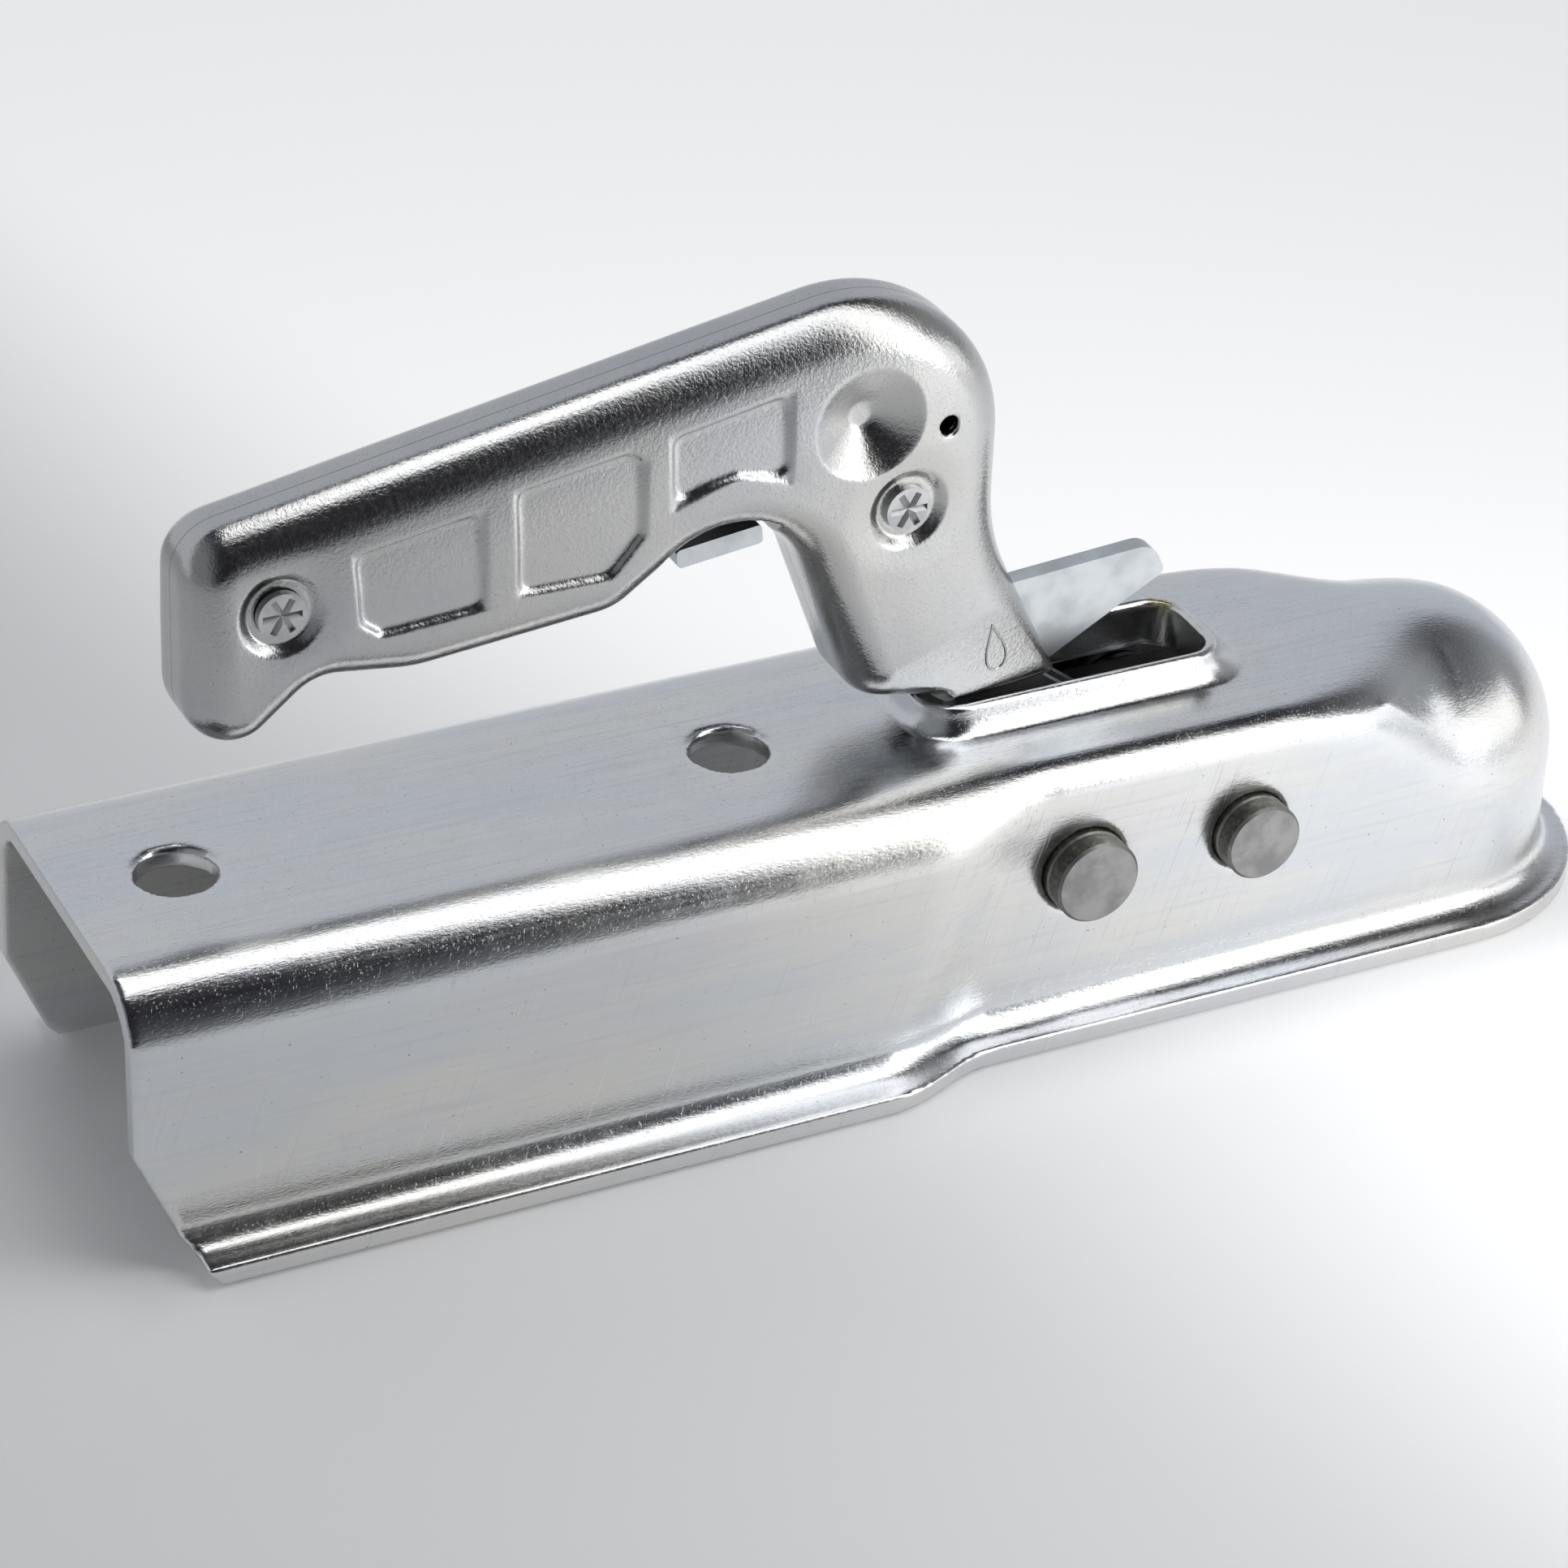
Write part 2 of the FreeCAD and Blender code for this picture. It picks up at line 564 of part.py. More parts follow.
def cam_plate():
    """Near lever plate: it joins the leg to the front pin and ends in the drive fork."""
    low = -CAM_INNER - CAM_T
    high = -CAM_INNER
    body = plate(placed(CAM_ARM), low, high)
    hub = rod(HUB_R, FRONT_PIN_X, PIN_Z, low, high)
    fork = plate(placed([(-FORK_HALF, 0, 0), (FORK_HALF, 0, 0), (FORK_HALF, -FORK_REACH, 3.0),
                         (-FORK_HALF, -FORK_REACH, 3.0)]), low, high)
    gap = DRIVE_PIN_D / 2.0 + DRIVE_CLEAR
    root = DRIVE_DROP - DRIVE_PIN_D / 2.0 - DRIVE_CLEAR
    below = -2 * FORK_REACH
    mouth = plate(placed([(-gap, -root, gap / 2.0), (gap, -root, gap / 2.0), (gap, below, 0),
                          (-gap, below, 0)]), low - 1, high + 1)
    pivot = V(FRONT_PIN_X, 0, PIN_Z)
    for piece in (fork, mouth):
        piece.rotate(pivot, V(0, 1, 0), -HANDLE_TRAVEL / 2.0)
    body = body.multiFuse([hub, fork]).cut(mouth)
    return body.cut(rod(FRONT_PIN_D / 2.0 + RUN_GAP, FRONT_PIN_X, PIN_Z, low - 1, high + 1))


def finger_lever():
    """One bent plate: finger pad under the arch, tongue in front, hook at the rear pin."""
    half = LEVER_T / 2.0
    body = plate(placed(LEVER_WEB), -half, half)
    swing = rod(HOOK_R, FRONT_PIN_X, PIN_Z, -half - 1, half + 1)
    hook_top = PIN_Z + HOOK_R * math.sin(HOOK_LEAN)
    under = Part.makeBox(2 * WIDE, 2 * WIDE, WIDE, V(FRONT_PIN_X - WIDE, -WIDE, hook_top - WIDE))
    body = body.cut(swing.common(under))
    pad = plate(placed(LEVER_PAD), half - LEVER_PAD_WIDTH, half)
    body = body.fuse(pad)
    return body.cut(rod(BUSH_D / 2.0 + RUN_GAP, LEG_X, LEG_Z, -half - 1, half + 1))


def ball_jaw():
    """Pressed jaw: two slotted side plates joined by a cup behind and below the ball."""
    x = FRONT_PIN_X
    rear = LATCH_PIN_X - JAW_EDGE
    outline = [(rear, PIN_Z + JAW_EDGE, 12.0), (-30.0, PIN_Z + JAW_EDGE, 6.0), (-17.0, 12.0, 0),
               (-14.0, -6.0, 0), (-30.0, -13.0, 6.0), (x - 3.6, -12.0, 5.0),
               (x - 13.6, PIN_Z - JAW_EDGE, 5.0), (rear, PIN_Z - JAW_EDGE, 12.0)]
    side = plate(outline, -SIDE_OUTER, -JAW_SIDE_INNER)
    seat = BALL_R + JAW_CLEAR
    cup = Part.makeSphere(seat + JAW_T)
    band = Part.makeBox(40, 2 * JAW_HALF_W, JAW_TOP - JAW_LOW, V(JAW_FRONT - 40, -JAW_HALF_W, JAW_LOW))
    notch = Part.makeBox(60, 2 * JAW_NOTCH_HALF, 20, V(-60, -JAW_NOTCH_HALF, JAW_NOTCH_TOP))
    cup = cup.common(band).cut(notch)
    jaw = cup.multiFuse([side, mirrored(side)]).cut(Part.makeSphere(seat))
    wide = SIDE_OUTER + 1
    front_slot = rod_slot(FRONT_PIN_D / 2.0 + SLIDE_CLEAR, x, x + JAW_TRAVEL, PIN_Z, -wide, wide)
    rear_slot = rod_slot(LATCH_PIN_D / 2.0 + SLIDE_CLEAR, LATCH_PIN_X, LATCH_PIN_X + JAW_TRAVEL,
                         PIN_Z, -wide, wide)
    bore = rod(DRIVE_PIN_D / 2.0 + PRESS_GAP, DRIVE_X, DRIVE_Z, -wide, wide)
    return jaw.cut(front_slot).cut(rear_slot).cut(bore)


def drive_pin():
    """Cross pin of the jaw: the fork carries its middle and the springs push its ends."""
    reach = SPRING_LEG_Y + SPRING_WIRE / 2.0 + DRIVE_END
    radius = DRIVE_PIN_D / 2.0
    half = [(0, 0), (radius, 0), (radius, reach - DRIVE_CHAMFER), (radius - DRIVE_CHAMFER, reach),
            (0, reach)]
    return turned(half, DRIVE_X, DRIVE_Z)


def flat(way):
    """A direction with its Y part taken out."""
    return V(way.x, 0, way.z).normalize()


def torsion_spring(x, z, radius, wire, y_from, y_to, start, end, tails):
    """Solid coil about Y at (x, z) with straight tails, and the far end of its second tail."""
    count = int(round((end - start) / 90.0))
    turn = (end - start) / count
    rise = (y_to - y_from) / count

    def at(i):
        t = math.radians(start + turn * i)
        return V(x + radius * math.cos(t), y_from + rise * i, z + radius * math.sin(t))

    arcs = [Part.Arc(at(i), at(i + 0.5), at(i + 1)).toShape() for i in range(count)]
    first = arcs[0]
    last = arcs[-1]
    way_in = flat(first.tangentAt(first.FirstParameter))
    way_out = flat(last.tangentAt(last.LastParameter))
    head = at(0) - way_in * tails[0]
    foot = at(count) + way_out * tails[1]
    path = Part.Wire([Part.LineSegment(head, at(0)).toShape()] + arcs
                     + [Part.LineSegment(at(count), foot).toShape()])
    up = V(0, 1, 0).cross(way_in)
    ring = []
    for k in range(WIRE_SIDES + 1):
        t = 2.0 * math.pi * (k + 0.5) / WIRE_SIDES
        ring.append(head + (up * math.cos(t) + V(0, 1, 0) * math.sin(t)) * (wire / 2.0))
    return path.makePipeShell([Part.makePolygon(ring)], True, False), foot


def tangent_from(radius, spacing_x, spacing_z, other, side):
    """Angle and length of the straight wire that leaves a coil and just touches a round bar."""
    distance = math.hypot(spacing_x, spacing_z)
    away = math.degrees(math.acos((radius - other) / distance))
    angle = math.degrees(math.atan2(spacing_z, spacing_x)) + side * away
    return angle, math.sqrt(distance ** 2 - (radius - other) ** 2)


def jaw_spring():
    """Far torsion spring on the front pin: it holds the jaw forward against the ball."""
    coil_r = FRONT_PIN_D / 2.0 + SPRING_LOOSE + SPRING_WIRE / 2.0
    touch = SPRING_WIRE / 2.0 + SPRING_TOUCH
    sleeve_r = LATCH_PIN_D / 2.0 + LATCH_SLEEVE_T + touch
    rear, rear_tail = tangent_from(coil_r, -PIN_SPACING, 0.0, sleeve_r, 1)
    front, front_tail = tangent_from(coil_r, DRIVE_X - FRONT_PIN_X, DRIVE_Z - PIN_Z,
                                     DRIVE_PIN_D / 2.0 + touch, -1)
    wound = (SPRING_TURNS - 1) * 360.0
    tails = (rear_tail + SPRING_TAIL, front_tail + SPRING_TAIL)
    return torsion_spring(FRONT_PIN_X, PIN_Z, coil_r, SPRING_WIRE, SPRING_OUTER_Y, SPRING_LEG_Y,
                          rear - 360.0, front + wound, tails)[0]


def lever_spring():
    """Small torsion spring beside the finger lever: front tail on the shell, rear on the lever."""
    coil_r = BUSH_D / 2.0 + LEVER_LOOSE + LEVER_WIRE / 2.0
    end = LEVER_END_ANGLE + LEVER_TURNS * 360.0
    spring, foot = torsion_spring(LEG_X, LEG_Z, coil_r, LEVER_WIRE, LEVER_COIL_HIGH, LEVER_COIL_LOW,
                                  LEVER_START_ANGLE, end, (LEVER_SHELL_TAIL, LEVER_HOOK_TAIL))
    wire_r = LEVER_WIRE / 2.0
    across = Part.makeCylinder(wire_r, foot.y + LEVER_CROSS, foot, V(0, -1, 0))
    return spring.multiFuse([across, Part.makeSphere(wire_r, foot)])


def build():
    """Every sub-part by name."""
    near = handle_shell(LEVER_PAD_WIDTH - LEVER_T / 2.0 + LEVER_CLEAR)
    far = mirrored(handle_shell(LEVER_T / 2.0 + LEVER_CLEAR))
    cam = cam_plate()
    front_r = FRONT_PIN_D / 2.0
    latch_r = LATCH_PIN_D / 2.0
    cam_outer = CAM_INNER + CAM_T
    sleeve_low = -INSIDE_HALF + END_CLEAR
    spring = jaw_spring()
    latch_sleeve = tube(latch_r + PRESS_GAP, latch_r + LATCH_SLEEVE_T, LATCH_PIN_X, PIN_Z,
                        sleeve_low, -SIDE_OUTER - END_CLEAR)
    washer = tube(front_r + RUN_GAP, front_r + CAM_WASHER_T, FRONT_PIN_X, PIN_Z,
                  -JAW_SIDE_INNER + END_CLEAR, -cam_outer - CAM_SIDE_GAP)
    nodes = {
        "coupling_body": coupling_body(),
        "front_pivot_pin": cross_pin(FRONT_PIN_D, FRONT_PIN_X),
        "rear_latch_pin": cross_pin(LATCH_PIN_D, LATCH_PIN_X),
        "jaw_spring_near": mirrored(spring),
        "jaw_spring_far": spring,
        "rear_sleeve_near": latch_sleeve,
        "rear_sleeve_far": mirrored(latch_sleeve),
        "ball_jaw": ball_jaw(),
        "jaw_drive_pin": drive_pin(),
        "handle_shell_near": near,
        "handle_shell_far": far,
        "grip_rivet": star_rivet(GRIP_X, GRIP_Z),
        "leg_rivet": star_rivet(LEG_X, LEG_Z),
        "grip_spacer": tube(RIVET_D / 2.0 + PRESS_GAP, BUSH_D / 2.0, GRIP_X, GRIP_Z,
                            -FLOOR_Y + CAM_SIDE_GAP, FLOOR_Y - CAM_SIDE_GAP),
        "lever_bush": tube(RIVET_D / 2.0 + PRESS_GAP, BUSH_D / 2.0, LEG_X, LEG_Z,
                           -FLOOR_Y + CAM_SIDE_GAP, FLOOR_Y - CAM_SIDE_GAP),
        "cam_plate_near": cam,
        "cam_plate_far": mirrored(cam),
        "cam_bush": tube(front_r + RUN_GAP, front_r + CAM_WASHER_T, FRONT_PIN_X, PIN_Z,
                         -CAM_INNER + CAM_SIDE_GAP, CAM_INNER - CAM_SIDE_GAP),
        "cam_washer_near": washer,
        "cam_washer_far": mirrored(washer),
        "finger_lever": finger_lever(),
        "lever_spring": lever_spring(),
    }
    return nodes


def main():
    """Writes each sub-part to its own file."""
    os.makedirs("parts", exist_ok=True)
    for name, shape in build().items():
        shape = shape.removeSplitter()
        print(name, "valid" if shape.isValid() else "broken", len(shape.Solids), round(shape.Volume, 1))
        shape.exportStep(os.path.join("parts", name + ".step"))


if __name__ == "__main__":
    main()
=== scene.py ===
import bmesh
import bpy
import math
import numpy as np
from mathutils import Matrix, Vector

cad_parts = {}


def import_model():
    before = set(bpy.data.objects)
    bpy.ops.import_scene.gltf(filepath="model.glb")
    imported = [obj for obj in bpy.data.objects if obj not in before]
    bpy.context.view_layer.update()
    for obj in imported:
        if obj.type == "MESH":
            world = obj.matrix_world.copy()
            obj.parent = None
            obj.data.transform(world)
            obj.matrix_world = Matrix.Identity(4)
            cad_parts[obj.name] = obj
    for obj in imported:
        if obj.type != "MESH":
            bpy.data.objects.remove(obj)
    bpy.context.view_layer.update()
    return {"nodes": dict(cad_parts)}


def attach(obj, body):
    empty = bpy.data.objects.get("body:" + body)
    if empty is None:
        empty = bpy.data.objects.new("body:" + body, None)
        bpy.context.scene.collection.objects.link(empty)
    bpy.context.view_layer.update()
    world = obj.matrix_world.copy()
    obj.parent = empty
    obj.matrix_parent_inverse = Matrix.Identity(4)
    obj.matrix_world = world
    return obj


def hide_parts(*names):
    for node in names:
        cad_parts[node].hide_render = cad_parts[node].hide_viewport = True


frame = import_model()

MM = 0.001


# Node helpers
def new_material(name):
    """An empty node material with its Principled shader already on the output."""
    mat = bpy.data.materials.new(name)
    mat.use_nodes = True
    tree = mat.node_tree
    tree.nodes.clear()
    out = tree.nodes.new("ShaderNodeOutputMaterial")
    bsdf = tree.nodes.new("ShaderNodeBsdfPrincipled")
    tree.links.new(bsdf.outputs["BSDF"], out.inputs["Surface"])
    return mat, tree, bsdf


def coords(tree, scale, turn=(0.0, 0.0, 0.0)):
    """Object coordinates in millimetres, turned and then scaled."""
    where = tree.nodes.new("ShaderNodeTexCoord")
    mapping = tree.nodes.new("ShaderNodeMapping")
    mapping.vector_type = "TEXTURE"
    mapping.inputs["Scale"].default_value = [MM / s for s in scale]
    mapping.inputs["Rotation"].default_value = turn
    tree.links.new(where.outputs["Object"], mapping.inputs["Vector"])
    return mapping.outputs["Vector"]


def noise(tree, vector, detail=4.0, rough=0.55, scale=1.0):
    """Noise texture on a coordinate, giving its factor."""
    node = tree.nodes.new("ShaderNodeTexNoise")
    node.inputs["Scale"].default_value = scale
    node.inputs["Detail"].default_value = detail
    node.inputs["Roughness"].default_value = rough
    tree.links.new(vector, node.inputs["Vector"])
    return node.outputs["Fac"]


def spread(tree, value, low, high, out_low=0.0, out_high=1.0):
    """Smooth map of a value from one range to another."""
    node = tree.nodes.new("ShaderNodeMapRange")
    node.interpolation_type = "SMOOTHSTEP"
    node.inputs["From Min"].default_value = low
    node.inputs["From Max"].default_value = high
    node.inputs["To Min"].default_value = out_low
    node.inputs["To Max"].default_value = out_high
    tree.links.new(value, node.inputs["Value"])
    return node.outputs["Result"]


def blend_colour(tree, factor, first, second):
    """Mix of two colours or colour sockets by a factor socket."""
    node = tree.nodes.new("ShaderNodeMix")
    node.data_type = "RGBA"
    tree.links.new(factor, node.inputs["Factor"])
    for socket, value in (("A", first), ("B", second)):
        target = [s for s in node.inputs if s.name == socket and s.type == "RGBA"][0]
        if isinstance(value, tuple):
            target.default_value = (*value, 1.0)
        else:
            tree.links.new(value, target)
    return [s for s in node.outputs if s.type == "RGBA"][0]


def tilted(tree, direction, x, y, z):
    """How far a direction leans towards x, y, z."""
    node = tree.nodes.new("ShaderNodeVectorMath")
    node.operation = "DOT_PRODUCT"
    node.inputs[1].default_value = (x, y, z)
    tree.links.new(direction, node.inputs[0])
    return node.outputs["Value"]


def add_values(tree, first, second, weight):
    """first + second * weight."""
    node = tree.nodes.new("ShaderNodeMath")
    node.operation = "MULTIPLY_ADD"
    node.inputs[1].default_value = weight
    tree.links.new(second, node.inputs[0])
    tree.links.new(first, node.inputs[2])
    return node.outputs["Value"]


def bump(tree, height, distance, strength=1.0, under=None):
    """Bump from a height socket, distance in millimetres."""
    node = tree.nodes.new("ShaderNodeBump")
    node.inputs["Strength"].default_value = strength
    node.inputs["Distance"].default_value = distance * MM
    tree.links.new(height, node.inputs["Height"])
    if under is not None:
        tree.links.new(under, node.inputs["Normal"])
    return node.outputs["Normal"]


# Metal finishes: colours, and residue as centre and radius in millimetres with its colour
LEAN = (0.0, 0.31, 0.0)
ZINC_COOL = (0.69, 0.71, 0.735)
ZINC_WARM = (0.76, 0.75, 0.725)
ZINC_VIOLET = (0.715, 0.70, 0.73)
STREAK_TONE = (0.60, 0.61, 0.62)
SCRATCH_TONE = (0.52, 0.53, 0.54)
PIT_TONE = (0.20, 0.20, 0.20)
HANDLE_COOL = (0.50, 0.51, 0.52)
HANDLE_WARM = (0.55, 0.545, 0.53)
SPECK_TONE = (0.34, 0.335, 0.32)
GREASE_DARK = (0.13, 0.13, 0.12)
GREASE_PALE = (0.22, 0.22, 0.185)
PIN_PALE = (0.39, 0.39, 0.38)
PIN_DARK = (0.30, 0.30, 0.295)
RESIDUE = [
    ((-46.5, 9.5, 35.0), 4.5, (0.40, 0.34, 0.12)),
    ((-83.0, -34.0, 16.5), 3.2, (0.30, 0.29, 0.22)),
]


def stain(tree, colour, centre, radius, tone):
    """Patchy residue round a point given in millimetres."""
    where = tree.nodes.new("ShaderNodeTexCoord")
    away = tree.nodes.new("ShaderNodeVectorMath")
    away.operation = "DISTANCE"
    away.inputs[1].default_value = [c * MM for c in centre]
    tree.links.new(where.outputs["Object"], away.inputs[0])
    near = spread(tree, away.outputs["Value"], 0.45 * radius * MM, radius * MM, 1.0, 0.0)
    patch = spread(tree, noise(tree, coords(tree, (0.9, 0.9, 0.9)), 4.0), 0.35, 0.6, 0.25, 1.0)
    both = tree.nodes.new("ShaderNodeMath")
    both.operation = "MULTIPLY"
    tree.links.new(near, both.inputs[0])
    tree.links.new(patch, both.inputs[1])
    return blend_colour(tree, both.outputs["Value"], colour, tone)


def zinc_body():
    """Bright zinc on drawn sheet: long violet and cream streaks, leaning scratches, grain and pits."""
    mat, tree, bsdf = new_material("zinc_body")
    bsdf.inputs["Metallic"].default_value = 1.0
    cloud = noise(tree, coords(tree, (0.012, 0.05, 0.05)), 4.0, 0.6)
    band = noise(tree, coords(tree, (0.018, 0.16, 0.16)), 3.0, 0.6)
    streak = noise(tree, coords(tree, (0.03, 1.1, 1.1)), 5.0, 0.65)
    scratch = noise(tree, coords(tree, (2.6, 2.6, 0.035), LEAN), 3.0, 0.6)
    wide = noise(tree, coords(tree, (0.22, 0.22, 0.012), LEAN), 3.0, 0.6)
    grain = noise(tree, coords(tree, (0.9, 2.6, 2.6)), 3.0, 0.6)
    pit = noise(tree, coords(tree, (1.5, 1.5, 1.5)), 1.0, 0.5)
    tint = blend_colour(tree, spread(tree, cloud, 0.36, 0.64), ZINC_COOL, ZINC_WARM)
    tint = blend_colour(tree, spread(tree, band, 0.5, 0.72, 0.0, 0.6), tint, ZINC_VIOLET)
    tint = blend_colour(tree, spread(tree, streak, 0.48, 0.85, 0.0, 0.6), tint, STREAK_TONE)
    tint = blend_colour(tree, spread(tree, scratch, 0.60, 0.74, 0.0, 0.42), tint, SCRATCH_TONE)
    tint = blend_colour(tree, spread(tree, pit, 0.76, 0.80, 0.0, 0.7), tint, PIT_TONE)
    for centre, radius, tone in RESIDUE:
        tint = stain(tree, tint, centre, radius, tone)
    tree.links.new(tint, bsdf.inputs["Base Color"])
    rough = spread(tree, streak, 0.3, 0.75, 0.13, 0.22)
    rough = add_values(tree, rough, spread(tree, cloud, 0.4, 0.7), 0.05)
    rough = add_values(tree, rough, spread(tree, wide, 0.45, 0.7), 0.05)
    tree.links.new(rough, bsdf.inputs["Roughness"])
    normal = bump(tree, streak, 0.012)
    normal = bump(tree, spread(tree, scratch, 0.60, 0.74), 0.015, 1.0, normal)
    normal = bump(tree, grain, 0.040, 1.0, normal)
    tree.links.new(normal, bsdf.inputs["Normal"])
    return mat


def zinc_handle():
    """Darker bright zinc on the pressed handle: fine orange peel and faint dark specks."""
    mat, tree, bsdf = new_material("zinc_handle")
    bsdf.inputs["Metallic"].default_value = 1.0
    cloud = noise(tree, coords(tree, (0.03, 0.03, 0.03)), 3.0)
    peel = noise(tree, coords(tree, (1.3, 1.3, 1.3)), 3.0, 0.6)
    grain = noise(tree, coords(tree, (2.0, 2.0, 2.0)), 2.0, 0.6)
    speck = noise(tree, coords(tree, (2.6, 2.6, 2.6)), 2.0, 0.5)
    tint = blend_colour(tree, spread(tree, cloud, 0.36, 0.64), HANDLE_COOL, HANDLE_WARM)
    tint = blend_colour(tree, spread(tree, speck, 0.60, 0.74, 0.0, 0.6), tint, SPECK_TONE)
    tree.links.new(tint, bsdf.inputs["Base Color"])
    tree.links.new(spread(tree, peel, 0.3, 0.7, 0.16, 0.24), bsdf.inputs["Roughness"])
    normal = bump(tree, peel, 0.050)
    tree.links.new(bump(tree, grain, 0.045, 1.0, normal), bsdf.inputs["Normal"])
    return mat


def pin_metal():
    """Turned pin: matt grey end face, dark greasy side with a little green-brown residue."""
    mat, tree, bsdf = new_material("pin_steel")
    bsdf.inputs["Metallic"].default_value = 1.0
    cloud = noise(tree, coords(tree, (0.18, 0.18, 0.18)), 4.0)
    grime = noise(tree, coords(tree, (0.8, 0.8, 0.8)), 4.0, 0.65)
    grain = noise(tree, coords(tree, (2.0, 2.0, 2.0)), 3.0, 0.6)
    facing = tree.nodes.new("ShaderNodeTexCoord").outputs["Normal"]
    end = spread(tree, tilted(tree, facing, 0.0, -1.0, 0.0), 0.55, 0.9)
    far_end = spread(tree, tilted(tree, facing, 0.0, 1.0, 0.0), 0.55, 0.9)
    ends = add_values(tree, end, far_end, 1.0)
    side = blend_colour(tree, spread(tree, grime, 0.45, 0.65), GREASE_DARK, GREASE_PALE)
    face = blend_colour(tree, spread(tree, cloud, 0.36, 0.64), PIN_PALE, PIN_DARK)
    tree.links.new(blend_colour(tree, ends, side, face), bsdf.inputs["Base Color"])
    tree.links.new(spread(tree, cloud, 0.3, 0.7, 0.42, 0.55), bsdf.inputs["Roughness"])
    tree.links.new(bump(tree, grain, 0.015), bsdf.inputs["Normal"])
    return mat


def plain_steel(name, light, dark, rough_low, rough_high, grain_mm):
    """Bare or dull-plated steel with a mottled face."""
    mat, tree, bsdf = new_material(name)
    bsdf.inputs["Metallic"].default_value = 1.0
    cloud = noise(tree, coords(tree, (0.18, 0.18, 0.18)), 4.0)
    grain = noise(tree, coords(tree, (1.0 / grain_mm,) * 3), 3.0, 0.6)
    tint = blend_colour(tree, spread(tree, cloud, 0.35, 0.68), light, dark)
    tree.links.new(tint, bsdf.inputs["Base Color"])
    tree.links.new(spread(tree, cloud, 0.3, 0.7, rough_low, rough_high), bsdf.inputs["Roughness"])
    tree.links.new(bump(tree, grain, 0.015), bsdf.inputs["Normal"])
    return mat


# Softened handle shells, in millimetres: back edge and panels as X and Z, bends with their radius
BACK_EDGE = [(-239.5, 93.5, 9.0), (-92.0, 120.8, 29.5), (-91.7, 65.3, 40.0), (-64.2, 10.0, 8.0)]
PANELS = [
    [(-211.7, 88.4), (-189.4, 92.0), (-188.9, 74.4), (-198.4, 73.7), (-207.4, 73.2), (-211.0, 76.2)],
    [(-183.5, 94.2), (-163.2, 97.6), (-160.7, 95.6), (-160.7, 82.2), (-166.4, 75.4), (-183.2, 75.5)],
    [(-155.8, 98.6), (-134.2, 102.9), (-134.1, 86.6), (-143.9, 89.9), (-155.7, 85.7)],
]
SHELL_HALF = 11.0
VOXEL = 0.5
CRISP_PASSES = 2
SMOOTH_PASSES = 4
SHELL_SHARE = 0.75
SEAM = 0.05
SEAM_ZONE = 0.1
SEAM_LAP = 0.4
CROWN_FROM = 22.5
CROWN_RATE = 0.0055
PANEL_RAMP = 0.65
PANEL_EXTRA = 0.35
FOOT_TOP = (52.0, 60.0)
CONE_AT = (-119.5, 94.4)
CONE_ZONE = (11.0, 13.0)
RIVETS = [(-224.3, 80.3), (-111.2, 76.5)]
RIVET_FLAT = 5.0
FUNNEL_R = 13.0
FUNNEL_DEPTH = 0.6
DROP_LOW = (-90.6, 39.7)
DROP_HIGH = (-92.8, 49.4)
DROP_HALF = 3.0
DROP_TAPER = 1.6
DROP_WIRE = 0.24
DROP_POINTS = 40
DROP_FROM = -50.0
OUTER_SKIN = (SHELL_HALF - 2.0, SHELL_HALF - 1.2)

# Softened body, in millimetres: where the smoothing comes in, and where it goes out again
BODY_VOXEL = 0.8
BODY_PASSES = 3
BODY_SHARE = 0.52
SHOULDER_PASSES = 200
SHOULDER_SKIN = (26.4, 27.3)
SHOULDER_X = (-41, -24, 4, 16)
SHOULDER_Z = (0, 9)
STEP_SHARE = 0.25
STEP_SKIN = (24.6, 27.3)
STEP_X = (-134, -122, -100, -86)
STEP_Y = (19, 23)
STEP_Z = (4, 12)
FAR = 1e9
TINY = 1e-9


def arc_path(points, steps=10):
    """Polyline with each inner corner turned into a smooth bend of about its radius."""
    path = [np.array(points[0][:2])]
    for before, corner, after in zip(points, points[1:], points[2:]):
        p = np.array(corner[:2])
        a = np.array(before[:2]) - p
        b = np.array(after[:2]) - p
        a /= np.linalg.norm(a)
        b /= np.linalg.norm(b)
        reach = corner[2] / math.tan(math.acos(float(a @ b)) / 2)
        for k in range(steps + 1):
            t = k / steps
            path.append(p + a * reach * (1 - t) ** 2 + b * reach * t ** 2)
    path.append(np.array(points[-1][:2]))
    return path


def path_distance(where, path):
    """Distance of points in X and Z from a polyline."""
    best = np.full(len(where), FAR)
    for a, b in zip(path, path[1:]):
        d = b - a
        t = np.clip((where - a) @ d / (d @ d), 0, 1)
        best = np.minimum(best, np.linalg.norm(where - a - t[:, None] * d, axis=1))
    return best


def inside(where, outline):
    """Which points lie inside a closed outline."""
    odd = np.zeros(len(where), bool)
    for a, b in zip(outline, outline[1:] + outline[:1]):
        span = (a[1] > where[:, 1]) != (b[1] > where[:, 1])
        cross = (b[0] - a[0]) * (where[:, 1] - a[1]) / (b[1] - a[1] + TINY) + a[0]
        odd ^= span & (where[:, 0] < cross)
    return odd


def step_smooth(value, low, high):
    """Smooth step from 0 at low to 1 at high."""
    t = np.clip((value - low) / (high - low), 0, 1)
    return t * t * (3 - 2 * t)


def step_band(value, rise_low, rise_high, fall_low, fall_high):
    """Smooth step up, then down again."""
    return step_smooth(value, rise_low, rise_high) * (1 - step_smooth(value, fall_low, fall_high))


def thin_out(obj, share):
    """Fewer triangles, taken from the flatter parts first."""
    less = obj.modifiers.new("less", "DECIMATE")
    less.ratio = share
    bake(obj)


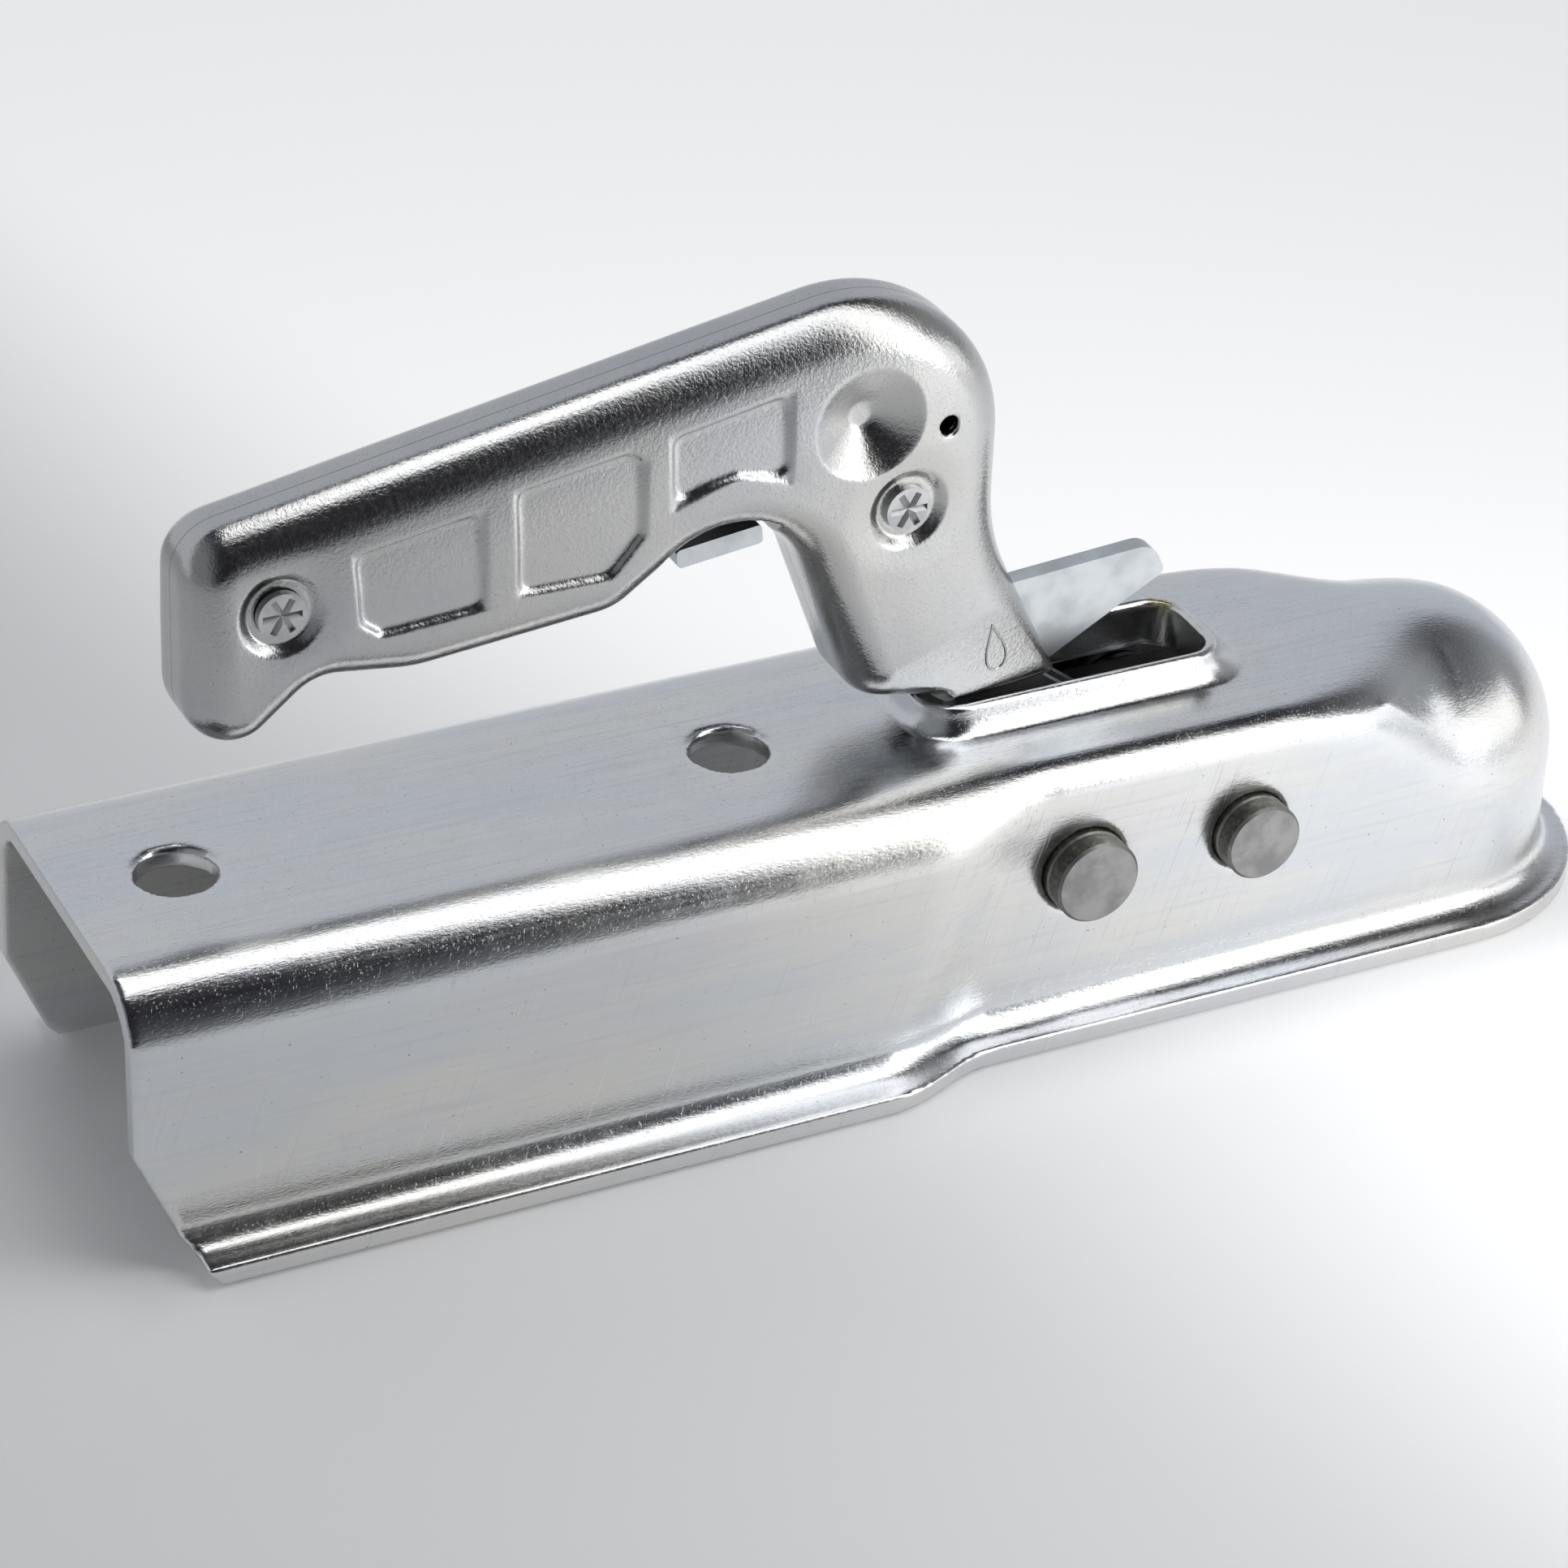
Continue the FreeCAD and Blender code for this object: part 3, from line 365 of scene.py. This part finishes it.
def bake(obj):
    """Makes an object's modifiers part of its mesh, smooth shaded."""
    graph = bpy.context.evaluated_depsgraph_get()
    mesh = bpy.data.meshes.new_from_object(obj.evaluated_get(graph))
    obj.modifiers.clear()
    obj.vertex_groups.clear()
    obj.data = mesh
    mesh.polygons.foreach_set("use_smooth", [True] * len(mesh.polygons))


def even_copy(nodes, name, voxel, passes):
    """Even, smoothed mesh of one piece, or of two that meet at the seam and overlap there."""
    pile = bmesh.new()
    for node in nodes:
        pile.from_mesh(frame["nodes"][node].data)
    if len(nodes) > 1:
        for vert in pile.verts:
            if abs(vert.co.y) < SEAM_ZONE * MM:
                vert.co.y = -math.copysign(SEAM_LAP * MM, vert.co.y)
    mesh = bpy.data.meshes.new(name)
    pile.to_mesh(mesh)
    pile.free()
    obj = bpy.data.objects.new(name, mesh)
    bpy.context.collection.objects.link(obj)
    even = obj.modifiers.new("even", "REMESH")
    even.mode = "VOXEL"
    even.voxel_size = voxel * MM
    soften(obj, passes)
    return obj


def soften(obj, passes, weights=None):
    """Smooths a mesh for good, by vertex weights where given."""
    if weights is not None:
        group = obj.vertex_groups.new(name="soft")
        for k in np.nonzero(weights > 0.01)[0]:
            group.add([int(k)], float(weights[k]), "REPLACE")
    soft = obj.modifiers.new("soft", "SMOOTH")
    soft.factor = 0.5
    soft.iterations = passes
    soft.vertex_group = "soft" if weights is not None else ""
    bake(obj)


def points_of(mesh):
    """Vertex positions in millimetres."""
    co = np.empty(len(mesh.vertices) * 3)
    mesh.vertices.foreach_get("co", co)
    return co.reshape(-1, 3) / MM


def put_points(mesh, co):
    """Writes vertex positions given in millimetres."""
    mesh.vertices.foreach_set("co", (co * MM).ravel())
    mesh.update()


def press_handle(co):
    """Crowned side faces, soft funnels round the rivets and soft panel rims."""
    flat = co[:, (0, 2)]
    reach = np.clip(CROWN_FROM - path_distance(flat, arc_path(BACK_EDGE)), 0, None)
    sink = np.zeros(len(co))
    for panel in PANELS:
        edge = [np.array(p) for p in panel]
        away = path_distance(flat, edge + edge[:1])
        away = np.where(inside(flat, panel), -away, away)
        sink = np.maximum(sink, PANEL_EXTRA * (1 - step_smooth(away, -PANEL_RAMP, PANEL_RAMP)))
    for rivet in RIVETS:
        away = np.linalg.norm(flat - np.array(rivet), axis=1)
        sink += FUNNEL_DEPTH * (1 - step_smooth(away, RIVET_FLAT, FUNNEL_R)) * (away > RIVET_FLAT)
    outer = step_smooth(np.abs(co[:, 1]), *OUTER_SKIN)
    co[:, 1] -= np.sign(co[:, 1]) * sink * outer
    co[:, 1] *= 1 - CROWN_RATE * reach ** 2 / SHELL_HALF


def half_of(obj, name, side):
    """The near or far half of a mesh, cut at the seam and closed there."""
    half = bmesh.new()
    half.from_mesh(obj.data)
    cut = bmesh.ops.bisect_plane(half, geom=half.verts[:] + half.edges[:] + half.faces[:],
                                 plane_co=(0, side * SEAM * MM, 0), plane_no=(0, -side, 0), clear_outer=True)
    edges = [e for e in cut["geom_cut"] if isinstance(e, bmesh.types.BMEdge)]
    for edge in edges:
        edge.smooth = False
    cap = bmesh.ops.triangle_fill(half, edges=edges, normal=(0, -side, 0), use_beauty=True)
    for face in cap["geom"]:
        if isinstance(face, bmesh.types.BMFace):
            face.smooth = False
    mesh = bpy.data.meshes.new(name)
    half.to_mesh(mesh)
    half.free()
    piece = bpy.data.objects.new(name, mesh)
    bpy.context.collection.objects.link(piece)
    return piece


def settle(obj, node, body, material):
    """Puts a softened piece in the plain one's place."""
    obj.data.materials.clear()
    obj.data.materials.append(material)
    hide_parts(node)
    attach(obj, body)


def soft_handle(material):
    """Both handle shells with soft pressed edges, crisper at the foot and round the cone."""
    nodes = ("handle_shell_near", "handle_shell_far")
    whole = even_copy(nodes, "handle_whole", VOXEL, CRISP_PASSES)
    co = points_of(whole.data)
    weight = step_smooth(co[:, 2], *FOOT_TOP)
    weight *= step_smooth(np.linalg.norm(co[:, (0, 2)] - np.array(CONE_AT), axis=1), *CONE_ZONE)
    soften(whole, SMOOTH_PASSES, weight)
    co = points_of(whole.data)
    press_handle(co)
    put_points(whole.data, co)
    thin_out(whole, SHELL_SHARE)
    for node, side in zip(nodes, (-1, 1)):
        shell = half_of(whole, node + "_soft", side)
        settle(shell, node, "handle", material)
        if side < 0:
            droplet(shell, material)
    bpy.data.objects.remove(whole)


def droplet(shell, material):
    """Raised outline of a drop on the pad, following the pressed face."""
    low, high = Vector(DROP_LOW), Vector(DROP_HIGH)
    up = (high - low) / 2
    across = Vector((up.y, -up.x)).normalized() * DROP_HALF
    spline_points = []
    for k in range(DROP_POINTS):
        t = 2 * math.pi * k / DROP_POINTS
        flat = (low + high) / 2 + up * math.cos(t) + across * (math.sin(t) * math.sin(t / 2) ** DROP_TAPER)
        hit, where, normal, index = shell.ray_cast((flat.x * MM, DROP_FROM * MM, flat.y * MM), (0, 1, 0))
        spline_points.append(where)
    curve = bpy.data.curves.new("drop_line", "CURVE")
    curve.dimensions = "3D"
    curve.bevel_depth = DROP_WIRE * MM
    curve.bevel_resolution = 3
    spline = curve.splines.new("POLY")
    spline.points.add(DROP_POINTS - 1)
    for point, where in zip(spline.points, spline_points):
        point.co = (*where, 1.0)
    spline.use_cyclic_u = True
    line = bpy.data.objects.new("drop_line", curve)
    bpy.context.collection.objects.link(line)
    graph = bpy.context.evaluated_depsgraph_get()
    mesh = bpy.data.meshes.new_from_object(line.evaluated_get(graph))
    bpy.data.objects.remove(line)
    mark = bpy.data.objects.new("pad_drop", mesh)
    bpy.context.collection.objects.link(mark)
    mesh.materials.clear()
    mesh.materials.append(material)
    mesh.polygons.foreach_set("use_smooth", [True] * len(mesh.polygons))
    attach(mark, "handle")


def soft_body(material):
    """Body with drawn, rounded shoulders that run into the dome."""
    body = even_copy(("coupling_body",), "coupling_body_soft", BODY_VOXEL, BODY_PASSES)
    co = points_of(body.data)
    x, y, z = co[:, 0], np.abs(co[:, 1]), co[:, 2]
    high = np.maximum(np.maximum(y, z), np.where(x > 0, np.linalg.norm(co, axis=1), 0))
    weight = step_smooth(high, *SHOULDER_SKIN) * step_band(x, *SHOULDER_X) * step_smooth(z, *SHOULDER_Z)
    step = step_band(x, *STEP_X) * step_smooth(high, *STEP_SKIN)
    step *= step_smooth(z, *STEP_Z) * step_smooth(y, *STEP_Y)
    soften(body, SHOULDER_PASSES, np.maximum(weight, STEP_SHARE * step))
    thin_out(body, BODY_SHARE)
    settle(body, "coupling_body", "housing", material)


def dress(node, material):
    """Gives one piece its finish."""
    obj = frame["nodes"][node]
    obj.data.materials.clear()
    obj.data.materials.append(material)


def dress_all():
    """Finish for each piece, and the softened pressings."""
    body = zinc_body()
    handle = zinc_handle()
    pin = pin_metal()
    rivet = plain_steel("rivet_steel", (0.62, 0.62, 0.62), (0.46, 0.47, 0.48), 0.3, 0.42, 0.6)
    inner = plain_steel("inner_steel", (0.50, 0.50, 0.50), (0.38, 0.38, 0.38), 0.32, 0.45, 0.6)
    lever = plain_steel("lever_zinc", (0.645, 0.675, 0.70), (0.56, 0.59, 0.61), 0.36, 0.46, 0.45)
    spring = plain_steel("spring_steel", (0.22, 0.22, 0.23), (0.14, 0.14, 0.15), 0.3, 0.4, 0.8)
    finish = {
        "coupling_body": body, "handle_shell_near": handle, "handle_shell_far": handle,
        "front_pivot_pin": pin, "rear_latch_pin": pin, "jaw_drive_pin": pin,
        "grip_rivet": rivet, "leg_rivet": rivet, "finger_lever": lever,
        "jaw_spring_near": spring, "jaw_spring_far": spring, "lever_spring": spring,
    }
    for node in frame["nodes"]:
        dress(node, finish.get(node, inner))
    soft_handle(handle)
    soft_body(body)


# Stage: pale floor, soft lamps, camera at the photograph's angle
CAMERA_AT = Vector((-483.04, -680.0, 499.49)) * MM
CAMERA_RIGHT = Vector((0.89696, -0.44014, 0.04186))
CAMERA_UP = Vector((0.20192, 0.49204, 0.84687))
CAMERA_BACK = Vector((-0.39334, -0.75115, 0.5302))
FOCAL_PIXELS = 6373.77
FRAME_PIXELS = 1932.0
SENSOR = 36.0
FLOOR_Z = -24.5 * MM
# Footprint of the object, over which a painted shadow dims the floor's glow
FOOTPRINT_MID = -112.0
FOOTPRINT_HALF = (146.0, 40.0)
FLOOR_SIZE = 6.0
FLOOR_GAP = 0.2 * MM
FLOOR_TONE = (0.90, 0.905, 0.91, 1.0)
# Painted light on the floor: its glow for camera and reflected rays grows brighter towards +X
PAINTED_GLOW_LEAN = (1.0, 0.3, 0.0)
PAINTED_GLOW_RAMP = (-0.18, -0.02, 0.13, 0.52)
# Painted shadow: the floor's glow dims to 0.45 over the object's footprint
PAINTED_SHADOW_RAMP = (-10.0 * MM, 12.0 * MM, 0.45, 1.0)
NEAR_LEAN = (0.8, 0.0, -0.5)
NEAR_DARK = (0.02, 0.02, 0.024)
NEAR_PALE = (0.34, 0.35, 0.36)
REAR_LEAN = (-1.0, 0.0, 0.1)
REAR_TONE = (0.24, 0.25, 0.265)
FAR_LEAN = (-0.1, 0.75, -0.5)
FAR_TONE = (0.585, 0.61, 0.655)
LAMPS = [
    ("strip", (197, -392, 10), (-140, 60, 540), (-110, 0, 40), 170, 1.9),
    ("overhead", (-185, -140, 450), (-185, 160, 480), (-185, 0, 40), 90, 1.9),
    ("low", (150, -470, 130), (520, -120, 130), (-40, 0, 20), 220, 1.0),
]


def camera():
    """Long lens at the photograph's angle."""
    data = bpy.data.cameras.new("camera")
    data.sensor_width = SENSOR
    data.sensor_height = SENSOR
    data.sensor_fit = "HORIZONTAL"
    data.lens = FOCAL_PIXELS / FRAME_PIXELS * SENSOR
    data.clip_start = 0.01
    obj = bpy.data.objects.new("camera", data)
    axes = Matrix((CAMERA_RIGHT, CAMERA_UP, CAMERA_BACK)).transposed()
    obj.matrix_world = Matrix.Translation(CAMERA_AT) @ axes.to_4x4()
    bpy.context.collection.objects.link(obj)
    bpy.context.scene.camera = obj


def calc(tree, operation, first, second):
    """One math operation on two sockets or numbers."""
    node = tree.nodes.new("ShaderNodeMath")
    node.operation = operation
    for socket, value in zip(node.inputs, (first, second)):
        if isinstance(value, float):
            socket.default_value = value
        else:
            tree.links.new(value, socket)
    return node.outputs["Value"]


def outside_box(tree, position):
    """Distance outside the object's footprint, below zero inside it; it places the painted shadow on the
    floor.
    """
    split = tree.nodes.new("ShaderNodeSeparateXYZ")
    tree.links.new(position, split.inputs["Vector"])
    along = calc(tree, "ABSOLUTE", calc(tree, "SUBTRACT", split.outputs["X"], FOOTPRINT_MID * MM), 0.0)
    across = calc(tree, "ABSOLUTE", split.outputs["Y"], 0.0)
    along = calc(tree, "SUBTRACT", along, FOOTPRINT_HALF[0] * MM)
    across = calc(tree, "SUBTRACT", across, FOOTPRINT_HALF[1] * MM)
    return calc(tree, "MAXIMUM", along, across)


def floor():
    """Pale floor that catches the object's shadow, with a painted glow for camera, glossy and transmission
    rays that grows brighter towards +X, and a painted shadow that dims that glow over the object's
    footprint.
    """
    bpy.ops.mesh.primitive_plane_add(size=FLOOR_SIZE, location=(0, 0, FLOOR_Z - FLOOR_GAP))
    plane = bpy.context.object
    plane.name = "floor"
    mat, tree, bsdf = new_material("floor_pale")
    bsdf.inputs["Base Color"].default_value = FLOOR_TONE
    bsdf.inputs["Roughness"].default_value = 0.9
    bsdf.inputs["Specular IOR Level"].default_value = 0.0
    paths = tree.nodes.new("ShaderNodeLightPath")
    seen = calc(tree, "MAXIMUM", paths.outputs["Is Glossy Ray"], paths.outputs["Is Transmission Ray"])
    seen = calc(tree, "MAXIMUM", seen, paths.outputs["Is Camera Ray"])
    where = tree.nodes.new("ShaderNodeTexCoord")
    # Painted light: the floor's glow grows brighter towards +X
    painted_glow = spread(tree, tilted(tree, where.outputs["Object"], *PAINTED_GLOW_LEAN), *PAINTED_GLOW_RAMP)
    # Painted shadow: the floor's glow dims over the object's footprint
    away = spread(tree, outside_box(tree, where.outputs["Object"]), *PAINTED_SHADOW_RAMP)
    strength = calc(tree, "MULTIPLY", calc(tree, "MULTIPLY", seen, painted_glow), away)
    bsdf.inputs["Emission Color"].default_value = (1.0, 1.0, 1.0, 1.0)
    tree.links.new(strength, bsdf.inputs["Emission Strength"])
    plane.data.materials.append(mat)


def lamp(name, low, high, target, width, radiance):
    """Soft strip lamp between two points, facing a third, with a given radiance."""
    low, high, target = (Vector(p) * MM for p in (low, high, target))
    along = (high - low).normalized()
    facing = target - (low + high) / 2
    facing = (facing - along * facing.dot(along)).normalized()
    length = (high - low).length
    data = bpy.data.lights.new(name, "AREA")
    data.shape = "RECTANGLE"
    data.size = width * MM
    data.size_y = length
    data.energy = math.pi * width * MM * length * radiance
    obj = bpy.data.objects.new(name, data)
    axes = Matrix((along.cross(-facing), along, -facing)).transposed()
    obj.matrix_world = Matrix.Translation((low + high) / 2) @ axes.to_4x4()
    bpy.context.collection.objects.link(obj)


def world():
    """Studio surround: soft grey on the far side, dimmer behind, dark on the camera's side."""
    scene_world = bpy.data.worlds.new("world")
    bpy.context.scene.world = scene_world
    scene_world.use_nodes = True
    tree = scene_world.node_tree
    tree.nodes.clear()
    out = tree.nodes.new("ShaderNodeOutputWorld")
    back = tree.nodes.new("ShaderNodeBackground")
    where = tree.nodes.new("ShaderNodeTexCoord")
    direction = where.outputs["Generated"]
    near = spread(tree, tilted(tree, direction, *NEAR_LEAN), -0.08, 0.60)
    rear = spread(tree, tilted(tree, direction, *REAR_LEAN), 0.30, 0.75)
    far = spread(tree, tilted(tree, direction, *FAR_LEAN), -0.12, 0.13)
    colour = blend_colour(tree, near, NEAR_DARK, NEAR_PALE)
    colour = blend_colour(tree, rear, colour, REAR_TONE)
    colour = blend_colour(tree, far, colour, FAR_TONE)
    tree.links.new(colour, back.inputs["Color"])
    back.inputs["Strength"].default_value = 1.0
    tree.links.new(back.outputs["Background"], out.inputs["Surface"])


def stage():
    """Floor, lamps, world and camera."""
    camera()
    floor()
    world()
    for settings in LAMPS:
        lamp(*settings)
    bpy.context.scene.view_settings.view_transform = "Standard"


dress_all()
stage()
